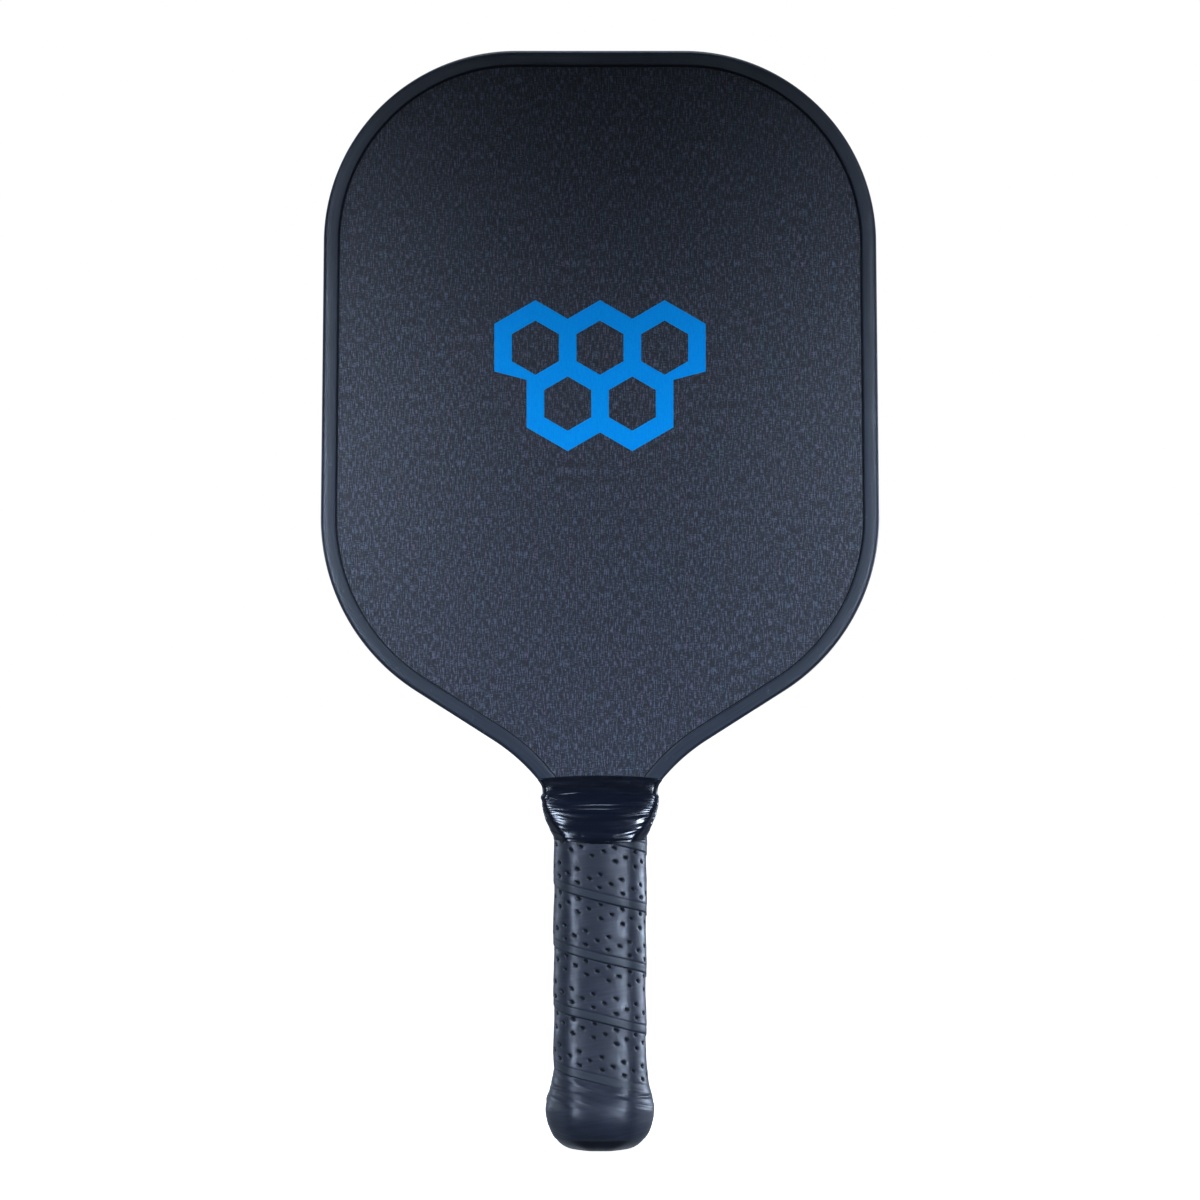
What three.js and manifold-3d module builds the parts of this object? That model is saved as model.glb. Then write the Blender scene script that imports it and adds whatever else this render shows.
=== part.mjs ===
// A pickleball paddle, in millimetres. +Z runs up the handle to the head, the front face looks along -Y,
// and the origin is the centre of the flat butt end.
//
// The head is a laminate: a honeycomb core between two bonded face sheets, with a channel-shaped guard round
// its edge. The laminate narrows to a tongue that two handle pallets enclose. A flared butt cap closes the
// end, a perforated cushion tape is wound up the handle, and a stretched collar covers the throat.

import * as THREE from "three";
import { mergeVertices } from "three/addons/utils/BufferGeometryUtils.js";
import Module from "manifold-3d";

const wasm = await Module();
wasm.setup();

// ---- driving dimensions ------------------------------------------------------------------------------

// Head outline: a flat top, a corner arc, a nearly straight side, a shoulder arc and a hollow throat arc.
const LENGTH = 400;
const HEAD_HALF_WIDTH = 101.6;
const CORNER_RADIUS = 70;
const CORNER_HALF_WIDTH = 100.5;
const SHOULDER_RADIUS = 74.5;
const SHOULDER_HEIGHT = 230;
const SHOULDER_SWEEP = 57.5;
const FLANK_LENGTH = 33.5;
const THROAT_RADIUS = 69.5;
const THROAT_SWEEP = 22;

// Laminate, from the middle outwards.
const CORE_THICKNESS = 12.7;
const FILM_THICKNESS = 0.2;
const FACE_THICKNESS = 0.55;
const PRINT_THICKNESS = 0.12;
const SEAT = 0.02;
const TONGUE_HALF_WIDTH = 12.5;
const TONGUE_SHOULDER = 118;
const TONGUE_END = 5;

// Honeycomb cells: across the flats of the pitch grid, and the wall between two cells.
const CELL_PITCH = 18;
const CELL_WALL = 1.2;

// Printed emblem: a plain cluster of open honeycomb cells.
const EMBLEM_CENTRE = 281.8;
const EMBLEM_PITCH = 23.5;
const EMBLEM_STROKE = 6.4;

// Edge guard channel.
const GUARD_WEB = 1.2;
const GUARD_LIP = 1.05;
const GUARD_WIDTH = 5.5;
const BOND_THICKNESS = 0.2;

// Bare handle section, inside the wrap.
const HANDLE_HALF_WIDTH = 15;
const HANDLE_HALF_DEPTH = 13.2;
const HANDLE_CHAMFER = 5.5;
const CORNER_POINTS = 2;
const FLARE_START = 112.5;
const FLARE_END = 124.5;
const FLARE_HALF_WIDTH = 19.4;
const RAMP_END = 130;
const RAMP_HALF_DEPTH = 8.25;
const RAMP_CHAMFER = 1.2;
const PALLET_BOTTOM = 4;
const PALLET_TAPE_MARGIN = 1;

// Butt cap: a flat end, a rounded foot, then a skirt under the tape that swells round the butt.
const CAP_SEAT_TOP = 31.8;
const CAP_SEAT_DEPTH = 1;
const FLAT_END_HALF_WIDTH = 11.2;
const FOOT_HALF_WIDTH = 17.7;
const FOOT_TOP = 7.7;
const SKIRT_GROWTH = 0.55;
const SWELL_GROWTH = 2.15;
const SWELL_HEIGHT = 15;
const SWELL_REACH = 6.6;
const FOOT_STEP = 0.1;
const BADGE_RADIUS = 7.5;
const BADGE_THICKNESS = 0.7;

// Staples through the cap's skirt.
const STAPLE_HEIGHT = 26.5;
const STAPLE_HALF_CROWN = 5;
const STAPLE_WIRE = 0.6;
const STAPLE_LEG = 4;

// Wound grip tape.
const TAPE_WIDTH = 25;
const TAPE_PITCH = 22;
const TAPE_THICKNESS = 1.75;
const TAPE_EDGE = 0.5;
const TAPE_BOTTOM = 8;
const TAPE_TOP = 116;
const TAPE_OVERLAP = TAPE_WIDTH - TAPE_PITCH;
const TAPE_SLOPE = 2.5;
const TAPE_SEAT = 0.25;
const TAPE_END_TAPER = 7;
const TAPE_END_THINNING = 0.6;
const CAP_CURVE_CLEAR = 0.45;

// Collar over the throat.
const COLLAR_BOTTOM = 112.8;
const COLLAR_TOP = 136;
const COLLAR_SEAT = 0.75;
const COLLAR_WALL = 0.3;
const FINISHING_SEAT = 0.5;
const HEAD_FIT = 0.4;
const FINISHING_WALL = 0.12;

// Gaps: between separate pieces, and between pieces that are bonded face to face.
const CLEAR = 0.3;
const HAIRLINE = 0.05;

const rad = THREE.MathUtils.degToRad;
const smooth = THREE.MathUtils.smoothstep;

// ---- shared geometry helpers -------------------------------------------------------------------------

// A closed BufferGeometry whose faces point outwards.
function closedGeometry(points, triangles) {
  const geometry = new THREE.BufferGeometry().setFromPoints(points);
  let volume = 0;
  for (const [a, b, c] of triangles)
    volume += points[a].dot(new THREE.Vector3().crossVectors(points[b], points[c]));
  const order = volume < 0 ? triangles.map(([a, b, c]) => [a, c, b]) : triangles;
  return geometry.setIndex(order.flat());
}

// Skins rings of equal point count. A looped skin joins its last ring to its first; an open one is closed
// by two end caps, cut up as the flat contour says.
function skin(rings, contour = null) {
  const size = rings[0].length;
  const looped = contour === null;
  const triangles = [];
  const spans = looped ? rings.length : rings.length - 1;
  for (let i = 0; i < spans; i++)
    for (let j = 0; j < size; j++) {
      const near = i * size;
      const far = ((i + 1) % rings.length) * size;
      const next = (j + 1) % size;
      triangles.push([near + j, near + next, far + next], [near + j, far + next, far + j]);
    }
  if (!looped) {
    const last = (rings.length - 1) * size;
    const clockwise = THREE.ShapeUtils.isClockWise(contour);
    for (const face of THREE.ShapeUtils.triangulateShape(contour, [])) {
      const [a, b, c] = clockwise ? face.reverse() : face;
      triangles.push([c, b, a], [last + a, last + b, last + c]);
    }
  }
  return closedGeometry(rings.flat(), triangles);
}

function toSolid(geometry) {
  const bare = new THREE.BufferGeometry().setAttribute("position", geometry.getAttribute("position"));
  if (geometry.index) bare.setIndex(geometry.index);
  const merged = mergeVertices(bare, 1e-4);
  const vertProperties = merged.attributes.position.array;
  const triVerts = new Uint32Array(merged.index.array);
  return new wasm.Manifold(new wasm.Mesh({ numProp: 3, vertProperties, triVerts }));
}

// The first geometry with every following one cut away from it.
function cut(geometry, ...tools) {
  let solid = toSolid(geometry);
  for (const tool of tools) solid = solid.subtract(toSolid(tool));
  const mesh = solid.getMesh();
  return new THREE.BufferGeometry()
    .setAttribute("position", new THREE.BufferAttribute(mesh.vertProperties, 3))
    .setIndex(new THREE.BufferAttribute(mesh.triVerts, 1));
}

// A flat plate: a shape drawn in X and Z, filling the depth from y = near to y = far.
function plate(shape, near, far) {
  return new THREE.ExtrudeGeometry(shape, { depth: far - near, bevelEnabled: false, curveSegments: 1 })
    .rotateX(Math.PI / 2)
    .translate(0, far, 0);
}

const part = new THREE.Group();

function add(name, geometry, color, roughness, metalness = 0) {
  const material = new THREE.MeshStandardMaterial({ color, roughness, metalness });
  const mesh = new THREE.Mesh(geometry, material);
  mesh.name = name;
  part.add(mesh);
}

// ---- head outline ------------------------------------------------------------------------------------

function arcPoints(centre, radius, from, to, steps) {
  const points = [];
  for (let i = 0; i <= steps; i++) {
    const angle = rad(THREE.MathUtils.lerp(from, to, i / steps));
    points.push(new THREE.Vector2(centre.x + radius * Math.cos(angle), centre.y + radius * Math.sin(angle)));
  }
  return points;
}

const cornerCentre = new THREE.Vector2(CORNER_HALF_WIDTH - CORNER_RADIUS, LENGTH - CORNER_RADIUS);
const shoulderCentre = new THREE.Vector2(HEAD_HALF_WIDTH - SHOULDER_RADIUS, SHOULDER_HEIGHT);
const flankNormal = new THREE.Vector2(Math.cos(rad(SHOULDER_SWEEP)), -Math.sin(rad(SHOULDER_SWEEP)));
const flankRun = new THREE.Vector2(flankNormal.y, -flankNormal.x);
const throatCentre = shoulderCentre
  .clone()
  .addScaledVector(flankNormal, SHOULDER_RADIUS + THROAT_RADIUS)
  .addScaledVector(flankRun, FLANK_LENGTH);
const throatFrom = 180 - SHOULDER_SWEEP;

// The right half of the head's outline, from the top down to the throat, moved inwards by an inset.
function rightEdge(inset) {
  return [
    ...arcPoints(cornerCentre, CORNER_RADIUS - inset, 90, 0, 11),
    ...arcPoints(shoulderCentre, SHOULDER_RADIUS - inset, 0, -SHOULDER_SWEEP, 8),
    ...arcPoints(throatCentre, THROAT_RADIUS + inset, throatFrom, throatFrom + THROAT_SWEEP, 4),
  ];
}

// The whole edge, from the left end at the throat, over the top, to the right end.
function wholeEdge(inset) {
  const right = rightEdge(inset);
  const left = right.map((p) => new THREE.Vector2(-p.x, p.y)).reverse();
  return [...left, ...right];
}

// Half the width of the head at a height in the throat.
function throatHalfWidth(z) {
  const rise = z - throatCentre.y;
  return throatCentre.x - Math.sqrt(THROAT_RADIUS ** 2 - rise ** 2);
}

// The laminate's outline: the head inside the guard, and the tongue, grown by a clearance if asked.
const PANEL_INSET = GUARD_WEB + BOND_THICKNESS + 0.1;
function panelShape(grow = 0) {
  const tongue = TONGUE_HALF_WIDTH + grow;
  const corners = [
    new THREE.Vector2(-tongue, TONGUE_END - grow),
    new THREE.Vector2(-tongue, TONGUE_SHOULDER),
    ...wholeEdge(PANEL_INSET - grow),
    new THREE.Vector2(tongue, TONGUE_SHOULDER),
    new THREE.Vector2(tongue, TONGUE_END - grow),
  ];
  return new THREE.Shape(corners);
}

// ---- laminate ----------------------------------------------------------------------------------------

const coreHalf = CORE_THICKNESS / 2;
const filmNear = coreHalf + SEAT;
const faceNear = filmNear + FILM_THICKNESS + SEAT;
const faceHalf = faceNear + FACE_THICKNESS;

function hexagon(x, z, acrossFlats) {
  const corner = acrossFlats / Math.sqrt(3);
  const points = [];
  for (let i = 0; i < 6; i++) {
    const angle = rad(30 + 60 * i);
    points.push(new THREE.Vector2(x + corner * Math.cos(angle), z + corner * Math.sin(angle)));
  }
  return points;
}

function isInside(point, polygon) {
  let inside = false;
  for (let i = 0, j = polygon.length - 1; i < polygon.length; j = i++) {
    const a = polygon[i];
    const b = polygon[j];
    const crosses = a.y > point.y !== b.y > point.y;
    if (crosses && point.x < ((b.x - a.x) * (point.y - a.y)) / (b.y - a.y) + a.x) inside = !inside;
  }
  return inside;
}

// The core, with every honeycomb cell that fits whole inside a solid rim.
function honeycombCore() {
  const shape = panelShape();
  const rim = panelShape(-CELL_WALL).getPoints();
  const rowPitch = (CELL_PITCH * Math.sqrt(3)) / 2;
  const rows = Math.ceil(LENGTH / rowPitch);
  const columns = Math.ceil(HEAD_HALF_WIDTH / CELL_PITCH);
  for (let row = 0; row < rows; row++)
    for (let column = -columns; column <= columns; column++) {
      const x = (column + (row % 2) / 2) * CELL_PITCH;
      const cell = hexagon(x, row * rowPitch, CELL_PITCH - CELL_WALL);
      if (cell.every((p) => isInside(p, rim))) shape.holes.push(new THREE.Path(cell));
    }
  return plate(shape, -coreHalf, coreHalf);
}

add("honeycomb_core", honeycombCore(), "#e4e2da", 0.6);
const faceLayers = [
  ["front", -1],
  ["back", 1],
];
for (const [side, sign] of faceLayers) {
  const layer = (near, far) => {
    const [low, high] = [sign * near, sign * far].sort((a, b) => a - b);
    return plate(panelShape(), low, high);
  };
  add(`${side}_adhesive_film`, layer(filmNear, filmNear + FILM_THICKNESS), "#c9b98a", 0.5);
  add(`${side}_face_sheet`, layer(faceNear, faceHalf), "#1b2030", 0.45);
}

// ---- printed emblem: a plain cluster of open honeycomb cells, three over two --------------------------

function emblemShape() {
  const rowPitch = (EMBLEM_PITCH * Math.sqrt(3)) / 2;
  const corner = EMBLEM_PITCH / Math.sqrt(3);
  const upper = EMBLEM_CENTRE + rowPitch / 2;
  const lower = EMBLEM_CENTRE - rowPitch / 2;
  const reach = corner + EMBLEM_STROKE / Math.sqrt(3);
  const grown = EMBLEM_PITCH / 2 + EMBLEM_STROKE / 2;
  // Right half of the outer contour, from the top middle clockwise; the left half mirrors it.
  const right = [
    [0, upper + reach],
    [EMBLEM_PITCH / 2, upper + corner / 2 + EMBLEM_STROKE / Math.sqrt(3)],
    [EMBLEM_PITCH, upper + reach],
    [EMBLEM_PITCH + grown, upper + reach / 2],
    [EMBLEM_PITCH + grown, upper - reach / 2],
    [EMBLEM_PITCH / 2 + grown, lower + reach / 2],
    [EMBLEM_PITCH / 2 + grown, lower - reach / 2],
    [EMBLEM_PITCH / 2, lower - reach],
    [0, lower - corner / 2 - EMBLEM_STROKE / Math.sqrt(3)],
  ];
  const left = right.slice(1, -1).map(([x, z]) => [-x, z]).reverse();
  const shape = new THREE.Shape([...right, ...left].map(([x, z]) => new THREE.Vector2(x, z)));
  const inner = EMBLEM_PITCH - EMBLEM_STROKE;
  for (const column of [-1, 0, 1])
    shape.holes.push(new THREE.Path(hexagon(column * EMBLEM_PITCH, upper, inner)));
  for (const column of [-0.5, 0.5])
    shape.holes.push(new THREE.Path(hexagon(column * EMBLEM_PITCH, lower, inner)));
  return shape;
}

const printNear = faceHalf + SEAT;
add("front_emblem", plate(emblemShape(), -printNear - PRINT_THICKNESS, -printNear), "#0a74d6", 0.5);
add("back_emblem", plate(emblemShape(), printNear, printNear + PRINT_THICKNESS), "#0a74d6", 0.5);

// ---- edge guard and its bond strip -------------------------------------------------------------------

// Sweeps a section along the head's edge. A section point is [distance inwards, y].
function sweepEdge(section) {
  const edges = section.map(([inset]) => wholeEdge(inset));
  const rings = edges[0].map((_, i) =>
    section.map(([, y], j) => new THREE.Vector3(edges[j][i].x, y, edges[j][i].y)),
  );
  return skin(rings, section.map(([inset, y]) => new THREE.Vector2(inset, y)));
}

const lipInner = faceHalf + HAIRLINE;
const lipOuter = lipInner + GUARD_LIP;
const guardHalfSection = [
  [0, lipOuter - 2.2],
  [0.35, lipOuter - 0.9],
  [1.2, lipOuter - 0.15],
  [2.2, lipOuter],
  [GUARD_WIDTH - 0.4, lipOuter - 0.1],
  [GUARD_WIDTH, lipOuter - 0.45],
  [GUARD_WIDTH, lipInner],
  [GUARD_WEB, lipInner],
];
const guardSection = [...guardHalfSection, ...guardHalfSection.map(([u, y]) => [u, -y]).reverse()];
add("edge_guard", sweepEdge(guardSection), "#1a212c", 0.55);

const bondNear = GUARD_WEB + HAIRLINE;
const bondHalf = coreHalf - 0.2;
const bondSection = [
  [bondNear, -bondHalf],
  [bondNear + BOND_THICKNESS, -bondHalf],
  [bondNear + BOND_THICKNESS, bondHalf],
  [bondNear, bondHalf],
];
add("edge_bond_strip", sweepEdge(bondSection), "#d8d2bf", 0.5);

// ---- handle sections ---------------------------------------------------------------------------------

// The bare handle's half width and half depth at a height: straight, then flared and ramped at the throat.
function palletSize(z) {
  const flare = smooth(z, FLARE_START, FLARE_END);
  const ramp = smooth(z, FLARE_START, RAMP_END);
  return {
    width: THREE.MathUtils.lerp(HANDLE_HALF_WIDTH, FLARE_HALF_WIDTH, flare),
    depth: THREE.MathUtils.lerp(HANDLE_HALF_DEPTH, RAMP_HALF_DEPTH, ramp),
    chamfer: THREE.MathUtils.lerp(HANDLE_CHAMFER, RAMP_CHAMFER, ramp),
  };
}

// An octagon with each corner broken into CORNER_POINTS, from the right side round through the back.
function octagonRing({ width, depth, chamfer }, z, outset = 0) {
  const w = width + outset;
  const d = depth + outset;
  const c = chamfer + outset * (2 - Math.SQRT2);
  const corners = [
    [w, d - c],
    [w - c, d],
    [c - w, d],
    [-w, d - c],
    [-w, c - d],
    [c - w, -d],
    [w - c, -d],
    [w, c - d],
  ];
  const soften = Math.min(1.1, c * 0.3);
  return corners.flatMap(([x, y], i) => {
    const before = corners[(i + 7) % 8];
    const after = corners[(i + 1) % 8];
    return [before, after].slice(0, CORNER_POINTS).map(([toX, toY]) => {
      const run = new THREE.Vector3(toX - x, toY - y, 0).setLength(soften);
      return new THREE.Vector3(x + run.x, y + run.y, z);
    });
  });
}

const flat = (ring) => ring.map((p) => new THREE.Vector2(p.x, p.y));

function loftOctagons(levels, sizeAt, outset = 0) {
  const rings = levels.map((z) => octagonRing(sizeAt(z), z, outset));
  return skin(rings, flat(rings[0]));
}

// ---- handle pallets, their bonding tapes and the staples that pin the cap ----------------------------

const throatLevels = [FLARE_START, 114.5, 116.5, 118.5, 120.5, 122.5, FLARE_END, 127, RAMP_END];
const seatSize = (z) => {
  const size = palletSize(z);
  return { ...size, width: size.width - CAP_SEAT_DEPTH, depth: size.depth - CAP_SEAT_DEPTH };
};
const palletTapeNear = faceHalf + HAIRLINE;
const palletTapeFar = palletTapeNear + FILM_THICKNESS;
const pocketHalf = palletTapeFar + HAIRLINE;
const tonguePocket = plate(panelShape(CLEAR), -pocketHalf, pocketHalf);

// A staple through the cap's skirt and into one pallet, with its crown lying across the handle.
function staple(sign, grow = 0) {
  const wire = STAPLE_WIRE + 2 * grow;
  const half = wire / 2;
  const top = HANDLE_HALF_DEPTH + SKIRT_GROWTH - 0.1 + grow;
  const foot = top - STAPLE_LEG - 2 * grow;
  const outline = new THREE.Shape(
    [
      [-STAPLE_HALF_CROWN - half, top],
      [-STAPLE_HALF_CROWN - half, foot],
      [half - STAPLE_HALF_CROWN, foot],
      [half - STAPLE_HALF_CROWN, top - wire],
      [STAPLE_HALF_CROWN - half, top - wire],
      [STAPLE_HALF_CROWN - half, foot],
      [STAPLE_HALF_CROWN + half, foot],
      [STAPLE_HALF_CROWN + half, top],
    ].map(([x, y]) => new THREE.Vector2(x, sign * y)),
  );
  const options = { depth: wire, bevelEnabled: false };
  return new THREE.ExtrudeGeometry(outline, options).translate(0, 0, STAPLE_HEIGHT - half);
}
const stapleHoles = [staple(-1, CLEAR), staple(1, CLEAR)];

function pallet(sign) {
  const seat = loftOctagons([PALLET_BOTTOM, CAP_SEAT_TOP + 1], seatSize);
  const body = loftOctagons([CAP_SEAT_TOP, ...throatLevels], palletSize);
  const whole = toSolid(seat).add(toSolid(body)).getMesh();
  const joined = new THREE.BufferGeometry()
    .setAttribute("position", new THREE.BufferAttribute(whole.vertProperties, 3))
    .setIndex(new THREE.BufferAttribute(whole.triVerts, 1));
  const otherHalf = new THREE.BoxGeometry(100, 50, 2 * LENGTH).translate(0, -sign * (25 - HAIRLINE), 0);
  return cut(joined, tonguePocket, otherHalf, ...stapleHoles);
}

const stripHalfWidth = TONGUE_HALF_WIDTH - PALLET_TAPE_MARGIN;
for (const [side, sign] of faceLayers) {
  add(`${side}_handle_pallet`, pallet(sign), "#4a4c50", 0.7);
  const near = sign * palletTapeNear;
  const far = sign * palletTapeFar;
  const strip = new THREE.Shape([
    new THREE.Vector2(-stripHalfWidth, TONGUE_END + PALLET_TAPE_MARGIN),
    new THREE.Vector2(stripHalfWidth, TONGUE_END + PALLET_TAPE_MARGIN),
    new THREE.Vector2(stripHalfWidth, TONGUE_SHOULDER),
    new THREE.Vector2(-stripHalfWidth, TONGUE_SHOULDER),
  ]);
  add(`${side}_pallet_tape`, plate(strip, Math.min(near, far), Math.max(near, far)), "#e8e0c8", 0.5);
}
add("front_butt_cap_staple", staple(-1), "#b9bcc0", 0.3, 1);
add("back_butt_cap_staple", staple(1), "#b9bcc0", 0.3, 1);

// ---- butt cap and badge disc -------------------------------------------------------------------------

// The cap's outer half width at a height. The foot is a quarter of an ellipse, from the flat end up to a
// step that the tape's edge butts against. The skirt above it swells smoothly round the butt.
function capHalfWidth(z) {
  if (z <= FOOT_TOP) {
    const share = Math.sqrt(1 - (1 - z / FOOT_TOP) ** 2);
    return THREE.MathUtils.lerp(FLAT_END_HALF_WIDTH, FOOT_HALF_WIDTH, share);
  }
  const swell = Math.exp(-(((z - SWELL_HEIGHT) / SWELL_REACH) ** 2));
  return HANDLE_HALF_WIDTH + SKIRT_GROWTH + SWELL_GROWTH * swell;
}

// Heights of the cap's sections: even steps of angle round the foot, then even steps up the skirt.
function capLevels() {
  const footSteps = 5;
  const skirtSteps = 8;
  const levels = [];
  for (let i = 0; i <= footSteps; i++) levels.push(FOOT_TOP * (1 - Math.cos(rad((90 * i) / footSteps))));
  const skirtBottom = FOOT_TOP + FOOT_STEP;
  const skirtTop = CAP_SEAT_TOP - CLEAR;
  for (let i = 0; i <= skirtSteps; i++)
    levels.push(THREE.MathUtils.lerp(skirtBottom, skirtTop, i / skirtSteps));
  return levels;
}

function capSize(z) {
  const growth = capHalfWidth(z) - HANDLE_HALF_WIDTH;
  return {
    width: HANDLE_HALF_WIDTH + growth,
    depth: HANDLE_HALF_DEPTH + growth,
    chamfer: HANDLE_CHAMFER + Math.max(growth, 0) * 0.8,
  };
}

function buttCap() {
  const outer = loftOctagons(capLevels(), capSize);
  const cavity = loftOctagons([PALLET_BOTTOM - CLEAR, CAP_SEAT_TOP + 1], seatSize, 0.1);
  const recessRadius = BADGE_RADIUS + CLEAR;
  const recess = new THREE.CylinderGeometry(recessRadius, recessRadius, 2 * BADGE_THICKNESS + 0.6, 32);
  return cut(outer, cavity, recess.rotateX(Math.PI / 2), ...stapleHoles);
}
add("butt_cap", buttCap(), "#14161a", 0.4);

const badge = new THREE.CylinderGeometry(BADGE_RADIUS, BADGE_RADIUS, BADGE_THICKNESS, 32);
badge.rotateX(Math.PI / 2).translate(0, 0, BADGE_THICKNESS / 2);
add("butt_badge_disc", badge, "#23262c", 0.35);

// ---- wound grip tape ---------------------------------------------------------------------------------

// What the tape lies on at a height: clear of the cap's curved skirt and flare, or the bare pallets above.
function tapeBaseRing(z) {
  const onCap = z < CAP_SEAT_TOP + 3.5;
  return onCap ? octagonRing(capSize(z), z, CAP_CURVE_CLEAR) : octagonRing(palletSize(z), z);
}

// Height of the tape's outer surface over its base, by distance v up from its lower edge. The upper margin
// slopes down, and the next turn's lower edge lies on it.
function tapeTop(v) {
  const shoulder = TAPE_PITCH - TAPE_SLOPE;
  if (v < shoulder) return TAPE_THICKNESS;
  const seam = TAPE_THICKNESS - 0.5;
  if (v < TAPE_PITCH) return THREE.MathUtils.mapLinear(v, shoulder, TAPE_PITCH, TAPE_THICKNESS, seam);
  return THREE.MathUtils.mapLinear(v, TAPE_PITCH, TAPE_WIDTH, seam, TAPE_EDGE);
}

function tapeUnder(v) {
  if (v >= TAPE_OVERLAP) return TAPE_SEAT;
  return tapeTop(v + TAPE_PITCH) + HAIRLINE;
}

function gripWrap() {
  const reference = octagonRing(palletSize(60), 0);
  const count = reference.length;
  const alongRing = [0];
  for (let k = 0; k < count; k++)
    alongRing.push(alongRing[k] + reference[k].distanceTo(reference[(k + 1) % count]));
  const normals = reference.map((_, k) => {
    const run = new THREE.Vector3().subVectors(reference[(k + 1) % count], reference.at(k - 1));
    return new THREE.Vector3(run.y, -run.x, 0).normalize();
  });
  const marks = [0, TAPE_OVERLAP, 5.5, 8, 10.5, 13, 16, TAPE_PITCH - TAPE_SLOPE, TAPE_PITCH, TAPE_WIDTH];
  const startWidth = 1;
  const lowestEdge = TAPE_BOTTOM - TAPE_WIDTH + startWidth;
  const rings = [];
  for (let k = 0; ; k++) {
    const turns = Math.floor(k / count) + alongRing[k % count] / alongRing[count];
    const edge = lowestEdge + TAPE_PITCH * turns;
    const from = Math.max(0, TAPE_BOTTOM - edge);
    const to = Math.min(TAPE_WIDTH, TAPE_TOP - edge);
    if (to - from < startWidth) break;
    const taper = (z) => 1 - TAPE_END_THINNING * smooth(z, TAPE_TOP - TAPE_END_TAPER, TAPE_TOP);
    const at = (v, height) => {
      const z = edge + v;
      const foot = tapeBaseRing(z)[k % count];
      return foot.clone().addScaledVector(normals[k % count], height * taper(z));
    };
    const spread = marks.map((v) => THREE.MathUtils.clamp(v, from, to));
    const stagger = spread.map((v, i) => {
      if (v === from) return v + i * 0.02;
      return v === to ? v - (marks.length - i) * 0.02 : v;
    });
    const outer = stagger.map((v) => at(v, tapeTop(v)));
    const under = stagger.map((v) => at(v, tapeUnder(v))).reverse();
    rings.push([...outer, ...under]);
  }
  const contour = [
    ...marks.map((v) => new THREE.Vector2(v, 1)),
    ...marks.map((v) => new THREE.Vector2(v, 0)).reverse(),
  ];
  return skin(rings, contour);
}
add("grip_wrap", gripWrap(), "#3a3d47", 0.65);

// ---- throat: the finishing tape under the collar, and the collar -------------------------------------

// A thin closed sleeve over the throat, wall thick, standing off the surface that a size function gives.
function sleeve(levels, sizeAt, standoff, wall) {
  const outer = levels.map((z) => octagonRing(sizeAt(z), z, standoff + wall));
  const inner = levels.map((z) => octagonRing(sizeAt(z), z, standoff));
  const around = outer[0].map((_, k) => [
    ...outer.map((ring) => ring[k]),
    ...inner.map((ring) => ring[k]).reverse(),
  ]);
  return skin(around);
}

// What the collar is stretched over: the grip's tapered end, the pallets' shoulders and the guard's ends.
function throatSize(z) {
  const size = palletSize(z);
  const thinned = TAPE_END_THINNING * smooth(z, TAPE_TOP - TAPE_END_TAPER, TAPE_TOP);
  const gripEnd = TAPE_THICKNESS * (1 - thinned);
  const cover = gripEnd * (1 - smooth(z, TAPE_TOP - 0.5, TAPE_TOP + 3));
  const head = z > RAMP_END - 2 ? throatHalfWidth(Math.max(z, RAMP_END)) : 0;
  return {
    width: Math.max(size.width + cover, head - HEAD_FIT),
    depth: Math.max(size.depth + cover, lipOuter - HEAD_FIT),
    chamfer: size.chamfer,
  };
}

const finishingLevels = [TAPE_TOP - 2.8, TAPE_TOP - 1.4, TAPE_TOP, TAPE_TOP + 1.4, TAPE_TOP + 3];
const finishingTape = sleeve(finishingLevels, throatSize, FINISHING_SEAT, FINISHING_WALL);
add("grip_finishing_tape", finishingTape, "#0c0e12", 0.3);

const collarLevels = [COLLAR_BOTTOM, ...throatLevels.slice(1), 132, 134, COLLAR_TOP];
add("throat_collar", sleeve(collarLevels, throatSize, COLLAR_SEAT, COLLAR_WALL), "#0b0e16", 0.18);

export default part;
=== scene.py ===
import math

import bpy
import numpy as np
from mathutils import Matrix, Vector


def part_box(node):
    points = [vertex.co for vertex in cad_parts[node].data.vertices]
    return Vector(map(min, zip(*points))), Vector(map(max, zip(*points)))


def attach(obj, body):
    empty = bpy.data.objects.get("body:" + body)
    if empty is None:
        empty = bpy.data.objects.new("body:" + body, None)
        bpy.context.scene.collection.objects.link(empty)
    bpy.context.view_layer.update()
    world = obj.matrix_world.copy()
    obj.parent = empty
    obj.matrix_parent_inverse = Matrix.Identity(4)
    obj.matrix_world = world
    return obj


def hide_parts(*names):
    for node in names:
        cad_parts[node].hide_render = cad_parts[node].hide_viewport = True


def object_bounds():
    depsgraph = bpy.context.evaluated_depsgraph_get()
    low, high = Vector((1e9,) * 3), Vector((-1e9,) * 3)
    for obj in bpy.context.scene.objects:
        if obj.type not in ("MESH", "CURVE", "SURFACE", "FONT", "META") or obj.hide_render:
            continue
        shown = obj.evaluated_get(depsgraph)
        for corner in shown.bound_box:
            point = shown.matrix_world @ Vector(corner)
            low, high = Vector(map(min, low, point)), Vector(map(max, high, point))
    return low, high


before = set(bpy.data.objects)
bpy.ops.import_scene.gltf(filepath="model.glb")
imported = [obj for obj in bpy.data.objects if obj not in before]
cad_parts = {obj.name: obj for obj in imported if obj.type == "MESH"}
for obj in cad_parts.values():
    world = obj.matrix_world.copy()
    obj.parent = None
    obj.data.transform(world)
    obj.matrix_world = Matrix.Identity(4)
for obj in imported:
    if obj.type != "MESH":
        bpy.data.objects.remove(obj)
cad_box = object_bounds()
MM = 0.001

# ---- camera, light and backdrop ----------------------------------------------------------------------

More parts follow.
